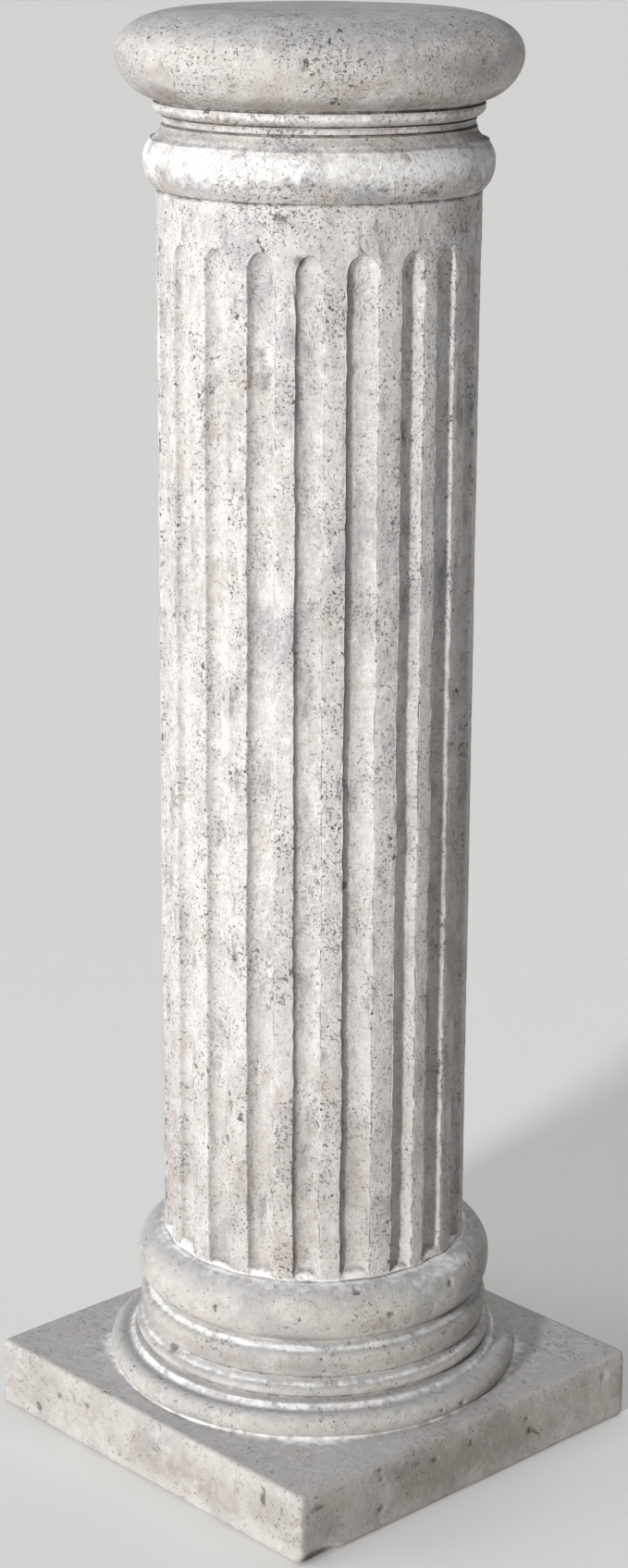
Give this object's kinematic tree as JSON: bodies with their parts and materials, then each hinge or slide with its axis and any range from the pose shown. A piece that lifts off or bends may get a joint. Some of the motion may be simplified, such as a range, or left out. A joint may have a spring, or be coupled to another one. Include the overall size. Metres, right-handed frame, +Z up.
{
  "type": "fluted pedestal",
  "caption": "Fluted round pedestal with a cushion-shaped cap and moulded base on a square plinth, for standing a bust, vase or plant on.",
  "frame": {"origin": "centre of the square plinth's underside, on the pedestal's own axis", "axes": "+Z up along the shaft; X and Y square to the plinth's sides"},
  "size_m": [0.291, 0.291, 0.9],
  "materials": {
    "base_stone": "cast stone, smooth and dusty with a white wash in its crevices, weathered edges",
    "column_stone": "cast stone, off-white and mottled, with small open pits and worn arrises"
  },
  "bodies": {
    "root": {"base": "base_stone", "column": "column_stone"}
  },
  "joints": []
}
